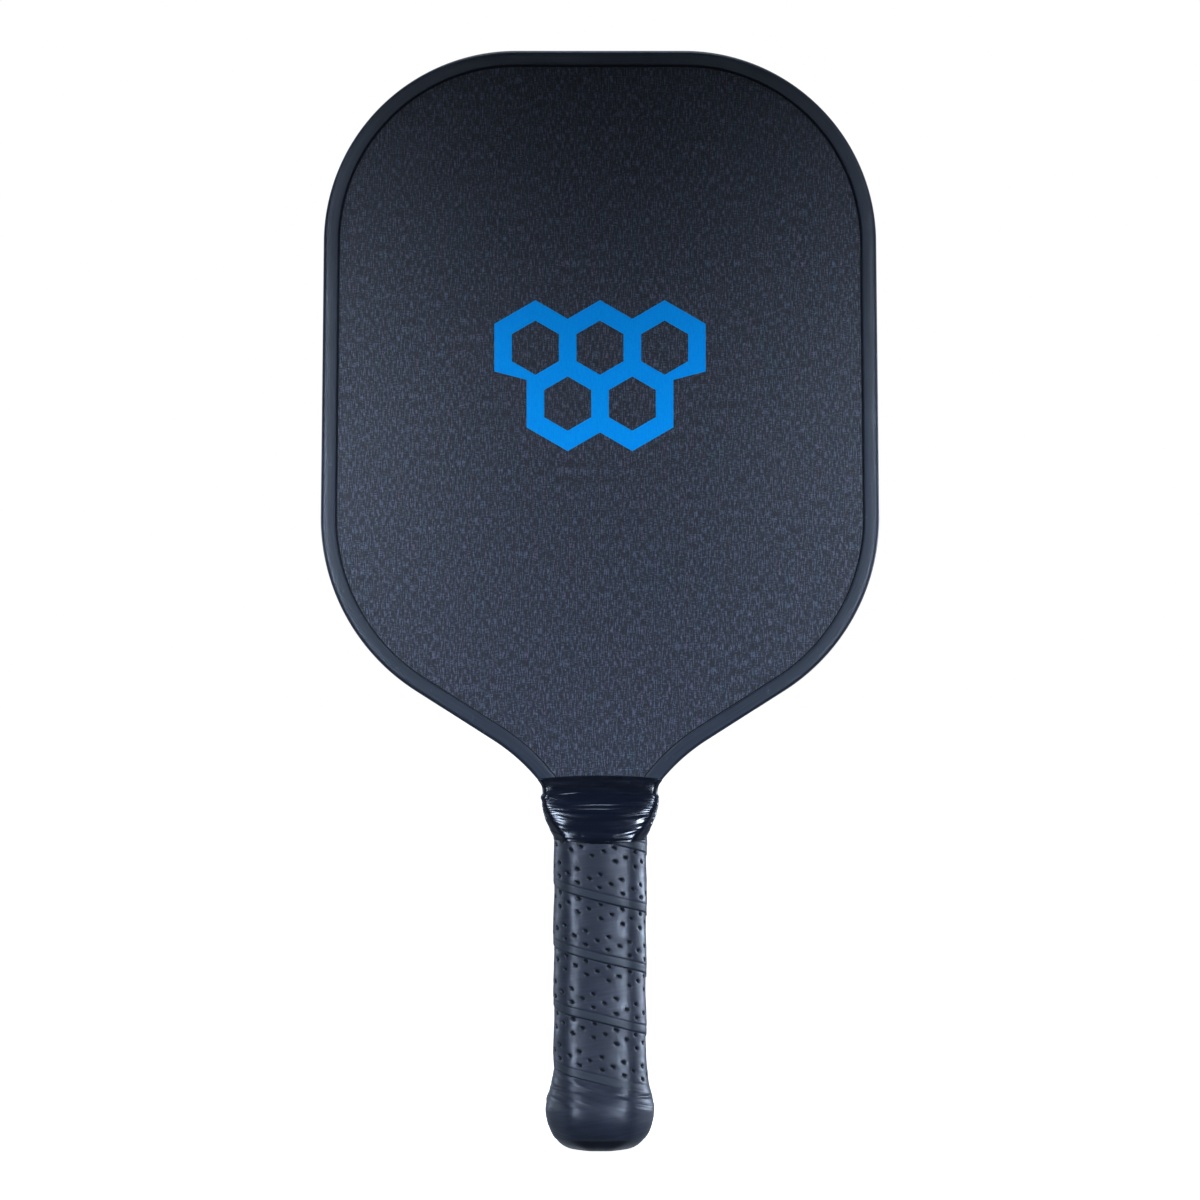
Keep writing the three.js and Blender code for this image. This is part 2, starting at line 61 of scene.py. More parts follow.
LENGTH = cad_box[1][2] - cad_box[0][2]
VIEW_WIDTH = 0.4368
CAMERA_DISTANCE = 1.5
CAMERA_LIFT = 0.0002
# VIEW_WIDTH is what the view takes in at this depth, a little nearer than the middle of the paddle.
FRAMED_DEPTH = 0.006
SENSOR = 36

camera_data = bpy.data.cameras.new("camera")
camera = bpy.data.objects.new("camera", camera_data)
bpy.context.scene.collection.objects.link(camera)
camera.location = (0, -CAMERA_DISTANCE, 0.5 * LENGTH + CAMERA_LIFT)
camera.rotation_euler = (math.radians(90), 0, 0)
camera_data.sensor_width = SENSOR
camera_data.lens = SENSOR * (CAMERA_DISTANCE - FRAMED_DEPTH) / VIEW_WIDTH
camera_data.clip_start = 0.01
camera_data.dof.use_dof = False
bpy.context.scene.camera = camera
bpy.context.scene.view_settings.view_transform = "Standard"


COOL = (0.65, 0.78, 1.0)


def softbox(name, place, aim, width, height, power, spread):
    """A rectangular area light at place, turned towards aim."""
    data = bpy.data.lights.new(name, "AREA")
    data.shape = "RECTANGLE"
    data.size = width
    data.size_y = height
    data.energy = power
    data.spread = math.radians(spread)
    data.color = COOL
    lamp = bpy.data.objects.new(name, data)
    lamp.location = place
    lamp.visible_camera = False
    lamp.rotation_euler = (Vector(aim) - Vector(place)).to_track_quat("-Z", "Y").to_euler()
    bpy.context.scene.collection.objects.link(lamp)


softbox("key_left", (-0.74, -0.92, 0.04), (0, 0, 0.02), 0.50, 0.16, 0.195, 17)
softbox("key_right", (0.62, -1.02, 0.04), (0, 0, 0.02), 0.42, 0.16, 0.230, 17)
softbox("face_left", (-0.60, -1.05, 0.21), (-0.02, 0, 0.205), 0.34, 0.19, 0.0245, 9)
softbox("face_right", (0.60, -1.05, 0.21), (0.02, 0, 0.205), 0.34, 0.19, 0.0245, 9)
softbox("face_top", (0, -1.35, 0.56), (0, 0, 0.40), 0.50, 0.08, 0.0038, 9)
softbox("edge_left", (-0.42, -1.15, 0.22), (-0.17, 0, 0.26), 0.20, 0.18, 0.080, 13)
softbox("edge_right", (0.42, -1.15, 0.22), (0.17, 0, 0.26), 0.20, 0.18, 0.062, 13)
softbox("high_left", (-0.75, -0.75, 0.75), (0, 0, 0.12), 0.25, 0.25, 0.11, 18)
softbox("high_right", (0.75, -0.75, 0.75), (0, 0, 0.12), 0.25, 0.25, 0.15, 18)
softbox("overhead", (0, 0.05, 1.5), (0, 0, 0.4), 0.9, 0.5, 0.7, 40)
softbox("rim_left", (-1.25, 0.62, 0.12), (0, 0, 0.08), 0.5, 0.3, 0.12, 34)
softbox("rim_right", (1.25, 0.62, 0.12), (0, 0, 0.08), 0.5, 0.3, 0.50, 34)

# The white backdrop behind the paddle lights its rims and its back. The front half of the room is dim.
BACKDROP = 0.55
ROOM = 0.065
SKY_TINT = (0.70, 0.82, 1, 1)
# How far back a direction points where the room ends and where the backdrop has its full strength.
ROOM_EDGE = -0.15
BACKDROP_EDGE = 0.6
world = bpy.data.worlds.new("studio")
bpy.context.scene.world = world
world.use_nodes = True
sky = world.node_tree
sky.nodes.clear()
seen = sky.nodes.new("ShaderNodeBackground")
seen.inputs["Color"].default_value = (1, 1, 1, 1)
lighting = sky.nodes.new("ShaderNodeBackground")
lighting.inputs["Color"].default_value = SKY_TINT
facing = sky.nodes.new("ShaderNodeTexCoord")
split = sky.nodes.new("ShaderNodeSeparateXYZ")
strength = sky.nodes.new("ShaderNodeMapRange")
strength.interpolation_type = "SMOOTHSTEP"
strength.inputs["From Min"].default_value = ROOM_EDGE
strength.inputs["From Max"].default_value = BACKDROP_EDGE
strength.inputs["To Min"].default_value = ROOM
strength.inputs["To Max"].default_value = BACKDROP
path = sky.nodes.new("ShaderNodeLightPath")
either = sky.nodes.new("ShaderNodeMixShader")
out = sky.nodes.new("ShaderNodeOutputWorld")
sky.links.new(facing.outputs["Generated"], split.inputs[0])
sky.links.new(split.outputs["Y"], strength.inputs["Value"])
sky.links.new(strength.outputs["Result"], lighting.inputs["Strength"])
sky.links.new(path.outputs["Is Camera Ray"], either.inputs["Fac"])
sky.links.new(lighting.outputs[0], either.inputs[1])
sky.links.new(seen.outputs[0], either.inputs[2])
sky.links.new(either.outputs[0], out.inputs["Surface"])

# ---- procedural materials ----------------------------------------------------------------------------


class Look:
    """A node material built up in a few calls. Sockets and plain values both serve as inputs."""

    def __init__(self, name, roughness=0.5, **settings):
        self.material = bpy.data.materials.new(name)
        self.material.use_nodes = True
        self.tree = self.material.node_tree
        self.shader = self.tree.nodes["Principled BSDF"]
        self.shader.inputs["Roughness"].default_value = roughness
        for socket, value in settings.items():
            self.shader.inputs[socket.replace("_", " ")].default_value = value

    def node(self, kind, inputs=(), out=0, **settings):
        node = self.tree.nodes.new("ShaderNode" + kind)
        for key, value in settings.items():
            setattr(node, key, value)
        for key, value in dict(inputs).items():
            self.feed(node.inputs[key], value)
        return node.outputs[out]

    def feed(self, socket, value):
        if isinstance(value, bpy.types.NodeSocket):
            self.tree.links.new(value, socket)
        else:
            socket.default_value = value

    def place(self, scale, turn=(0, 0, 0)):
        """Object coordinates in metres, turned and then scaled."""
        at = self.node("TexCoord", out="Object")
        at = self.node("Mapping", {"Vector": at, "Rotation": turn})
        return self.node("Mapping", {"Vector": at, "Scale": scale})

    def noise(self, scale, detail, rough, turn=(0, 0, 0)):
        inputs = {"Vector": self.place(scale, turn), "Scale": 1, "Detail": detail, "Roughness": rough}
        return self.node("TexNoise", inputs, out="Fac")

    def math(self, operation, a, b):
        return self.node("Math", {0: a, 1: b}, operation=operation)

    def ramp(self, factor, *stops):
        socket = self.node("ValToRGB", {"Fac": factor}, out="Color")
        ramp = socket.node.color_ramp
        while len(ramp.elements) < len(stops):
            ramp.elements.new(0.5)
        for element, (position, colour) in zip(ramp.elements, stops):
            element.position = position
            element.color = (*colour, 1) if isinstance(colour, tuple) else (colour, colour, colour, 1)
        return socket

    def mix(self, factor, a, b, blend="MIX"):
        node = self.node("Mix", data_type="RGBA", blend_type=blend, out=2).node
        self.feed(node.inputs[0], factor)
        for index, value in ((6, a), (7, b)):
            self.feed(node.inputs[index], (*value, 1) if isinstance(value, tuple) else value)
        return node.outputs[2]

    def tint(self, colour, by):
        return self.mix(1.0, colour, by, "MULTIPLY")

    def finish(self, colour, roughness=None, height=None, distance=0.0001, strength=1.0):
        self.feed(self.shader.inputs["Base Color"], colour)
        if roughness is not None:
            self.feed(self.shader.inputs["Roughness"], roughness)
        if height is not None:
            inputs = {"Height": height, "Distance": distance, "Strength": strength}
            self.feed(self.shader.inputs["Normal"], self.node("Bump", inputs))
        return self.material


def threads(look):
    """Height of a fine cloth whose upright threads stand out more than its cross threads."""
    warp = look.noise((2400, 1, 330), 2, 0.6)
    weft = look.noise((620, 1, 2400), 2, 0.6)
    return look.math("ADD", look.math("MULTIPLY", warp, 0.6), look.math("MULTIPLY", weft, 0.4))


def weave_material():
    look = Look("woven_composite", 0.4)
    cloth = threads(look)
    colour = look.ramp(cloth, (0.40, (0.0006, 0.0009, 0.0028)), (0.5, (0.0040, 0.0054, 0.0104)),
                       (0.60, (0.072, 0.082, 0.118)))
    bands = look.noise((430, 1, 26), 2, 0.5)
    warm = look.tint(colour, (1.22, 0.96, 1.04))
    cool = look.tint(colour, (0.84, 1.06, 1.10))
    colour = look.mix(look.ramp(bands, (0.35, 0.0), (0.65, 1.0)), warm, cool)
    patches = look.noise((230, 1, 120), 1, 0.5)
    ruddy = look.tint(colour, (1.3, 0.98, 1.12))
    colour = look.mix(look.ramp(patches, (0.5, 0.0), (0.72, 0.75)), colour, ruddy)
    cells = look.node("TexVoronoi", {"Vector": look.place((420, 1, 300)), "Scale": 1}, out="Distance")
    dots = look.ramp(cells, (0.05, 1.0), (0.14, 0.0))
    rare = look.noise((60, 1, 60), 1, 0.5)
    specks = look.math("MULTIPLY", dots, look.ramp(rare, (0.5, 0.0), (0.6, 0.55)))
    colour = look.mix(specks, colour, (0.16, 0.18, 0.22))
    gloss = look.ramp(cloth, (0.35, 0.56), (0.65, 0.33))
    return look.finish(colour, gloss, cloth, 0.00030, 0.7)


def ink_material():
    look = Look("printed_ink", 0.5, Specular_IOR_Level=0.05)
    cloth = threads(look)
    colour = look.ramp(cloth, (0.33, (0.0002, 0.33, 0.98)), (0.5, (0.0003, 0.39, 1.0)),
                       (0.67, (0.003, 0.45, 1.0)))
    return look.finish(colour, look.ramp(cloth, (0.35, 0.52), (0.65, 0.38)), cloth, 0.00015, 0.6)


def moulded_material(name, dark, light, roughness, grain=0.00004):
    """Moulded plastic: faint cloudy tone, a fine grained skin and a few long scuffs."""
    look = Look(name, roughness)
    cloud = look.noise((38, 38, 38), 3, 0.6)
    scuff = look.noise((900, 900, 55), 3, 0.6, (0.2, 0.5, 0.3))
    colour = look.mix(look.ramp(cloud, (0.35, 0.0), (0.7, 1.0)), dark, light)
    scuffed = tuple(min(1, 2.2 * c) for c in light)
    colour = look.mix(look.ramp(scuff, (0.62, 0.0), (0.74, 0.22)), colour, scuffed)
    skin = look.noise((2600, 2600, 2600), 2, 0.6)
    gloss = look.ramp(scuff, (0.4, roughness - 0.05), (0.7, roughness + 0.1))
    return look.finish(colour, gloss, skin, grain, 0.5)


def guard_material():
    """Moulded channel. The mesh's colour layer holds the millimetres across and along the strip."""
    look = Look("guard_plastic", 0.4)
    strip = look.node("VertexColor", layer_name="strip", out="Color")
    lines = look.node("TexNoise", {
        "Vector": look.node("VectorMath", {0: strip, 1: (2.6, 0.035, 0)}, operation="MULTIPLY"),
        "Scale": 1, "Detail": 3, "Roughness": 0.6}, out="Fac")
    cloud = look.noise((34, 34, 34), 3, 0.6)
    nicks = look.noise((420, 420, 420), 2, 0.5)
    tone = look.math("ADD", look.math("MULTIPLY", lines, 0.65), look.math("MULTIPLY", cloud, 0.35))
    colour = look.ramp(tone, (0.36, (0.010, 0.0145, 0.024)), (0.5, (0.015, 0.0205, 0.032)),
                       (0.64, (0.023, 0.030, 0.043)))
    colour = look.mix(look.ramp(nicks, (0.70, 0.0), (0.76, 0.5)), colour, (0.06, 0.07, 0.09))
    skin = look.noise((2600, 2600, 2600), 2, 0.6)
    height = look.math("ADD", look.math("MULTIPLY", lines, 0.7), look.math("MULTIPLY", skin, 0.3))
    return look.finish(colour, look.ramp(tone, (0.35, 0.46), (0.65, 0.34)), height, 0.00005, 0.5)


def grip_material():
    """Cushion tape. The mesh's colour layer says where the pits and seam lines are, both darkened as painted
    shade, and where the bare lower border is.
    """
    look = Look("cushion_tape", 0.5)
    painted_shade_and_border = look.node("VertexColor", layer_name="painted_shade_and_border", out="Color")
    split = look.node("SeparateColor", {"Color": painted_shade_and_border}, out="Red").node
    cloud = look.noise((60, 60, 60), 4, 0.6)
    streak = look.noise((70, 70, 1100), 3, 0.6, (0, math.radians(9), 0))
    tone = look.math("ADD", look.math("MULTIPLY", cloud, 0.5), look.math("MULTIPLY", streak, 0.5))
    colour = look.ramp(tone, (0.36, (0.007, 0.0085, 0.0150)), (0.5, (0.0125, 0.0150, 0.0245)),
                       (0.66, (0.024, 0.027, 0.041)))
    # The bare border is greener in its own tone, and darker partly as painted shade where the skived border
    # faces away from the lights.
    colour = look.mix(split.outputs["Green"], colour, (0.008, 0.0125, 0.0195))
    # The seam lines are darkened as painted shadow.
    colour = look.mix(split.outputs["Blue"], colour, (0.008, 0.011, 0.018))
    # The pits are coloured near black: painted shade inside them.
    colour = look.mix(split.outputs["Red"], colour, (0.0006, 0.0008, 0.0016))
    leather = look.node("TexVoronoi", {"Vector": look.place((1900, 1900, 1900)), "Scale": 1}, out="Distance")
    fine = look.noise((3200, 3200, 3200), 2, 0.6)
    skin = look.math("ADD", look.math("MULTIPLY", leather, 0.6), look.math("MULTIPLY", fine, 0.4))
    patches = look.noise((110, 110, 300), 2, 0.5)
    gloss = look.ramp(look.mix(0.5, tone, patches), (0.38, 0.47), (0.62, 0.34))
    gloss = look.mix(split.outputs["Green"], gloss, (0.50, 0.50, 0.50))
    gloss = look.mix(split.outputs["Red"], gloss, (1.0, 1.0, 1.0))
    return look.finish(colour, gloss, skin, 0.00005, 0.5)


def tape_material(name, roughness, colour, lift):
    """Stretched black tape, with fine stretch lines running round the handle."""
    look = Look(name, roughness)
    lines = look.noise((35, 35, 2300), 3, 0.6)
    soft = look.noise((120, 120, 420), 3, 0.6)
    tone = look.mix(look.ramp(lines, (0.4, 0.0), (0.7, 1.0)), colour, tuple(c * lift for c in colour))
    gloss = look.ramp(soft, (0.35, roughness), (0.7, roughness + 0.14))
    return look.finish(tone, gloss, look.math("ADD", lines, soft), 0.00003, 0.4)


def plain_material(name, dark, light, roughness, scale=300, metallic=0.0, stretch=(1, 1, 1)):
    look = Look(name, roughness, Metallic=metallic)
    grain = look.noise(tuple(scale * s for s in stretch), 3, 0.6)
    colour = look.mix(look.ramp(grain, (0.35, 0.0), (0.68, 1.0)), dark, light)
    gloss = look.ramp(grain, (0.3, roughness - 0.06), (0.7, roughness + 0.08))
    return look.finish(colour, gloss, grain, 0.00006, 0.5)


weave = weave_material()
ink = ink_material()
guard_plastic = guard_material()
# Near black: painted shade for the thin line inside the guard's lips.
gap_painted_shade = moulded_material("gap_painted_shade", (0.0012, 0.0015, 0.0022), (0.002, 0.0025, 0.0035), 0.8)
# Dark cap plastic, coloured darker still as painted shade on the foot.
cap_plastic = moulded_material("cap_plastic", (0.0028, 0.0036, 0.0062), (0.005, 0.0064, 0.0105), 0.34,
                               0.00006)
badge_plastic = moulded_material("badge_plastic", (0.02, 0.023, 0.03), (0.03, 0.034, 0.042), 0.3)
cushion = grip_material()
collar_gloss = tape_material("collar_gloss", 0.11, (0.0030, 0.0044, 0.0092), 2.0)
collar_satin = tape_material("collar_satin", 0.14, (0.0020, 0.0030, 0.0060), 2.4)
core_polymer = plain_material("core_polymer", (0.60, 0.58, 0.52), (0.76, 0.74, 0.68), 0.5, 240)
adhesive = plain_material("adhesive_film", (0.30, 0.22, 0.10), (0.46, 0.36, 0.18), 0.35, 90)
bond = plain_material("bond_adhesive", (0.50, 0.46, 0.36), (0.64, 0.60, 0.48), 0.4, 160)
foam = plain_material("pallet_foam", (0.012, 0.013, 0.016), (0.045, 0.047, 0.052), 0.8, 900)
soft_tape = plain_material("double_sided_tape", (0.55, 0.50, 0.40), (0.70, 0.66, 0.56), 0.6, 420)
steel = plain_material("staple_wire", (0.42, 0.43, 0.45), (0.62, 0.63, 0.66), 0.32, 500, 1.0, (6, 1, 6))

cad_looks = {
    "honeycomb_core": core_polymer,
    "front_adhesive_film": adhesive,
    "back_adhesive_film": adhesive,
    "front_face_sheet": weave,
    "back_face_sheet": weave,
    "front_emblem": ink,
    "back_emblem": ink,
    "edge_bond_strip": bond,
    "front_handle_pallet": foam,
    "back_handle_pallet": foam,
    "front_pallet_tape": soft_tape,
    "back_pallet_tape": soft_tape,
    "front_butt_cap_staple": steel,
    "back_butt_cap_staple": steel,
}
for node_name, material in cad_looks.items():
    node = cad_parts[node_name]
    for holder in node.material_slots:
        holder.material = material

# ---- mesh helpers ------------------------------------------------------------------------------------


def lattice(ix, iy, iz, seed):
    value = np.sin(ix * 127.1 + iy * 311.7 + iz * 74.7 + seed * 53.3) * 43758.5453
    return value - np.floor(value)


def noise(x, y, z, seed=0):
    """Smooth noise from 0 to 1 over arrays of coordinates, the same on every run."""
    cell = [np.floor(c) for c in (x, y, z)]
    part = [c - f for c, f in zip((x, y, z), cell)]
    eased = [p * p * (3 - 2 * p) for p in part]
    total = 0.0
    for dx in (0, 1):
        for dy in (0, 1):
            for dz in (0, 1):
                weight = 1.0
                for step, e in zip((dx, dy, dz), eased):
                    weight = weight * (e if step else 1 - e)
                total = total + weight * lattice(cell[0] + dx, cell[1] + dy, cell[2] + dz, seed)
    return total


def smooth(value, low, high):
    t = np.clip((value - low) / (high - low), 0, 1)
    return t * t * (3 - 2 * t)


def make_mesh(name, points, faces, material, angle):
    """A piece from points in millimetres."""
    mesh = bpy.data.meshes.new(name)
    mesh.from_pydata([tuple(p) for p in points * MM], [], faces)
    mesh.update()
    mesh.shade_smooth()
    mesh.set_sharp_from_angle(angle=math.radians(angle))
    mesh.materials.append(material)
    piece = bpy.data.objects.new(name, mesh)
    bpy.context.scene.collection.objects.link(piece)
    return piece


def skin(name, rings, material, ends, angle):
    """Skins an array of rings (ring, point, xyz), ordered so that the faces look outwards.

    ends is "fan" to close both ends, or "loop" to join the last ring to the first."""
    count, size = rings.shape[:2]
    points = rings.reshape(-1, 3)
    spans = count if ends == "loop" else count - 1
    ring = np.arange(spans)[:, None]
    near = ring * size
    far = ((ring + 1) % count) * size
    j = np.arange(size)[None, :]
    k = (j + 1) % size
    faces = np.stack([near + j, near + k, far + k, far + j], axis=-1).reshape(-1, 4).tolist()
    if ends == "fan":
        first, last = len(points), len(points) + 1
        points = np.vstack([points, rings[0].mean(axis=0), rings[-1].mean(axis=0)])
        base = (count - 1) * size
        faces += [(first, (i + 1) % size, i) for i in range(size)]
        faces += [(last, base + i, base + (i + 1) % size) for i in range(size)]
    return make_mesh(name, points, faces, material, angle)


def settle(piece, node_names):
    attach(piece, "root")
    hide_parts(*node_names)


# ---- handle sections ---------------------------------------------------------------------------------

# How many points run along a side, a chamfer and a front facet of the octagon.
SIDE, CHAMFER, FRONT = 68, 30, 82
EDGE_POINTS = [CHAMFER, FRONT, CHAMFER, SIDE, CHAMFER, FRONT, CHAMFER, SIDE]
AROUND = sum(EDGE_POINTS)
# Half width, half depth and chamfer of the wrapped handle.
REFERENCE = (16.8, 15.0, 5.3)
GRIP_CROWN = 0.19
# Where the crown neither adds nor takes depth, as the square of the share of the half width.
CROWN_LEVEL = 0.4


def sections(width, depth, chamfer, soften=10.0, crown=GRIP_CROWN):
    """Rounded octagons, one per row: half width, half depth and chamfer are arrays in millimetres.

    Returns (row, point, xy). Points run from the right side round through the back, left and front."""
    w, d, c, crown = (np.asarray(v, float) for v in np.broadcast_arrays(width, depth, chamfer, crown))
    crown = crown.reshape(-1, 1)
    corners = [(w, d - c), (w - c, d), (c - w, d), (-w, d - c),
               (-w, c - d), (c - w, -d), (w - c, -d), (w, c - d)]
    columns = []
    for i, count in enumerate(EDGE_POINTS):
        a, b = corners[i], corners[(i + 1) % 8]
        for t in np.arange(count) / count:
            columns.append((a[0] + (b[0] - a[0]) * t, a[1] + (b[1] - a[1]) * t))
    ring = np.array(columns).transpose(2, 0, 1)
    reach = int(3 * soften)
    shifts = np.arange(-reach, reach + 1)
    weights = np.exp(-0.5 * (shifts / soften) ** 2)
    weights /= weights.sum()
    ring = sum(weight * np.roll(ring, shift, axis=1) for shift, weight in zip(shifts, weights))
    # The front and back are crowned, as tape pulled round a flat settles.
    ring[..., 1] *= 1 + crown * (CROWN_LEVEL - (ring[..., 0] / w[:, None]) ** 2)
    return ring


def outward(ring):
    """Unit normals in plan of sections, (row, point, xy)."""
    run = np.roll(ring, -1, axis=1) - np.roll(ring, 1, axis=1)
    normal = np.stack([run[..., 1], -run[..., 0]], axis=-1)
    return normal / np.linalg.norm(normal, axis=-1, keepdims=True)


def solid_rings(ring, z):
    """Adds the height to sections: (row, point, xyz)."""
    heights = np.broadcast_to(np.asarray(z, float).reshape(len(ring), -1), ring.shape[:2])
    return np.concatenate([ring, heights[..., None]], axis=-1)


reference = sections(np.array([REFERENCE[0]]), REFERENCE[1], REFERENCE[2])[0]
steps = np.linalg.norm(np.roll(reference, -1, axis=0) - reference, axis=1)
PERIMETER = steps.sum()
front_middle = sum(EDGE_POINTS[:5]) + FRONT // 2
along = np.concatenate([[0], np.cumsum(steps)[:-1]])
# Distance round the handle from the middle of the front, positive towards +X.
AROUND_MM = (along - along[front_middle] + PERIMETER / 2) % PERIMETER - PERIMETER / 2

GRIP_HALF_WIDTH = REFERENCE[0]
DEPTH_STEP = 1.8
TAPE_THICKNESS = 1.45

# The butt end: a flat end, a quarter-ellipse foot out to the widest part of the bulge, and a swell that fades
# upwards.
FLAT_END = 9.2
BULGE = 19.9
BULGE_HEIGHT = 15.0
SWELL_REACH = 8.2
TAPE_FOOT = 4.4
WRAP_TOP = 116.0


def handle_half_width(z):
    """Outer half width of the wrapped handle at heights z."""
    z = np.asarray(z, float)
    fall = np.clip(1 - z / BULGE_HEIGHT, 0, 1)
    foot = FLAT_END + (BULGE - FLAT_END) * np.sqrt(1 - fall ** 2)
    swell = GRIP_HALF_WIDTH + (BULGE - GRIP_HALF_WIDTH) * np.exp(-((z - BULGE_HEIGHT) / SWELL_REACH) ** 2)
    return np.where(z < BULGE_HEIGHT, foot, swell)


# ---- grip wrap ---------------------------------------------------------------------------------------

PITCH = 22.0
SEAM_HEIGHT = 91.2
SEAM_SWING = 0.23
ROWS = (4.9, 7.4, 9.9, 15.9, 18.4, 20.9)
HOLE_SPACING = 8.1
HOLE_RADII = (0.98, 0.68)
HOLE_DEPTH = 0.85
CUP_DEPTH = 0.05
# The lowest turn that is punched: the tape below it is covered where it rounds the butt.
LOWEST_PUNCHED = -3
LAP_STEP = 0.16
LAP_VARIATION = 0.26
BORDER_STEP = 0.10
TAPE_FALL = 0.44


def wrap_relief(u, z, x, y):
    """Outward relief of the wound tape, and its colour layer: pits and seam lines darkened as painted shade,
    and the bare border.
    """
    turn = u / PERIMETER
    drop = -PITCH * (turn + SEAM_SWING * np.sin(2 * np.pi * turn) / (2 * np.pi))
    waver = 0.5 * (noise(x / 14, y / 14, z / 16, 3) - 0.5)
    rise = z - SEAM_HEIGHT - drop - waver
    index = np.floor(rise / PITCH)
    v = rise - index * PITCH
    tape = u - index * PERIMETER
    wound = smooth(z, 22.0, 27.0)

    step = (LAP_STEP + LAP_VARIATION * noise(x / 9, y / 9, z / 9, 4)) * smooth(v, 0.0, 0.3)
    border = BORDER_STEP * smooth(v, 2.9, 3.7)
    fall = -TAPE_FALL * smooth(v, 4.0, PITCH)
    crease = -0.16 * np.exp(-((v - PITCH + 0.16) / 0.22) ** 2) - 0.08 * np.exp(-((v + 0.05) / 0.2) ** 2)
    inner_crease = -0.07 * np.exp(-((v - 3.0) / 0.35) ** 2)
    relief = (step + border + fall + crease + inner_crease) * (0.25 + 0.75 * wound)

    holes = np.zeros_like(z)
    cup = np.zeros_like(z)
    for number, row in enumerate(ROWS):
        phase = HOLE_SPACING / 2 * (number % 2) + 1.3 * (number // 3)
        count = np.floor((tape - phase) / HOLE_SPACING + 0.5)
        jitter_a = 0.5 * (lattice(count, index, number, 5) - 0.5)
        jitter_v = 0.4 * (lattice(count, index, number, 9) - 0.5)
        da = (tape - phase - count * HOLE_SPACING - jitter_a) / HOLE_RADII[0]
        dv = (v - row - jitter_v + 0.12 * da) / HOLE_RADII[1]
        away = np.sqrt(da ** 2 + dv ** 2)
        holes = np.maximum(holes, 1 - smooth(away, 0.7, 1.0))
        cup = np.maximum(cup, 1 - smooth(away, 0.9, 2.3))
    shown = index >= LOWEST_PUNCHED
    holes = holes * shown
    cup = cup * shown
    relief = relief - HOLE_DEPTH * holes - CUP_DEPTH * cup

    # Stretch wrinkles across the butt's turn, and slight unevenness everywhere.
    slant = z + 0.34 * x
    folds = noise(slant / 1.7, u / 26, y / 20, 11) + 0.5 * noise(slant / 0.8, u / 14, y / 14, 12)
    folds = folds + 0.24 * noise(slant / 0.45, u / 12, y / 12, 13) - 0.12
    below_turns = 1 - smooth(rise - LOWEST_PUNCHED * PITCH, -1.0, 3.0) * 0.85
    at_butt = smooth(z, 13.0, 19.0) * below_turns * (1 - smooth(z, 28.0, 36.0))
    relief = relief + 0.50 * (folds - 0.75) * at_butt
    tuck = z + 0.10 * x - 21.6
    relief = relief - 0.30 * np.exp(-(tuck / 0.55) ** 2) * (1 - smooth(np.abs(u + 4), 20, 34))
    relief = relief + 0.30 * (noise(x / 8, y / 8, z / 7, 21) - 0.5)
    relief = relief + 0.08 * (noise(x / 5, y / 5, z / 2, 22) - 0.5)

    # The bare border's mask: its darker colour is partly painted shade.
    band = (1 - smooth(v, 2.6, 3.3)) * smooth(v, 0.0, 0.25) * (0.35 + 0.65 * wound)
    # The seam line is painted shadow under the step of the turn above, strongest along the topmost seam.
    line = np.maximum(smooth(v, PITCH - 0.55, PITCH - 0.2), 1 - smooth(v, 0.0, 0.3)) * (0.4 + 0.6 * wound)
    line = line * (0.35 + 0.65 * (rise > PITCH - 1))
    return relief, holes, band, line


def grip_wrap():
    first_rows = TAPE_FOOT + np.array([0, 0.08, 0.22, 0.42, 0.68])
    z = np.concatenate([first_rows, np.arange(TAPE_FOOT + 0.95, WRAP_TOP, 0.27)])
    width = handle_half_width(z)
    growth = np.clip(width - GRIP_HALF_WIDTH, 0, 3)
    chamfer = REFERENCE[2] + 0.9 * growth
    shell = sections(width, width - DEPTH_STEP, chamfer, crown=GRIP_CROWN + 0.03 * growth)
    normal = outward(shell)
    u = np.broadcast_to(AROUND_MM[None, :], shell.shape[:2])
    zz = np.broadcast_to(z[:, None], shell.shape[:2])
    relief, holes, band, line = wrap_relief(u, zz, shell[..., 0], shell[..., 1])
    edge = smooth(zz, TAPE_FOOT, TAPE_FOOT + 1.8)
    relief = (relief - 0.1) * edge - 0.12 * (1 - edge)
    outer = solid_rings(shell + normal * relief[..., None], z)
    under = shell - normal * (TAPE_THICKNESS - 0.05)
    few = np.unique(np.concatenate([np.arange(0, len(z), 12), [len(z) - 1]]))[::-1]
    inner = solid_rings(under[few], z[few])
    piece = skin("grip_wrap_cushion", np.vstack([outer, inner]), cushion, "loop", 60)
    layer = piece.data.color_attributes.new("painted_shade_and_border", "FLOAT_COLOR", "POINT")
    colours = np.zeros((len(piece.data.vertices), 4))
    colours[:, 3] = 1
    shown = outer.shape[0] * outer.shape[1]
    # Red holds the pits and blue the seam lines, both painted shade; green holds the bare border.
    colours[:shown, 0] = holes.ravel()
    colours[:shown, 1] = band.ravel() * 0.85
    colours[:shown, 2] = line.ravel() * 0.9
    layer.data.foreach_set("color", colours.ravel())
    settle(piece, ["grip_wrap"])


grip_wrap()

# ---- head outline ------------------------------------------------------------------------------------

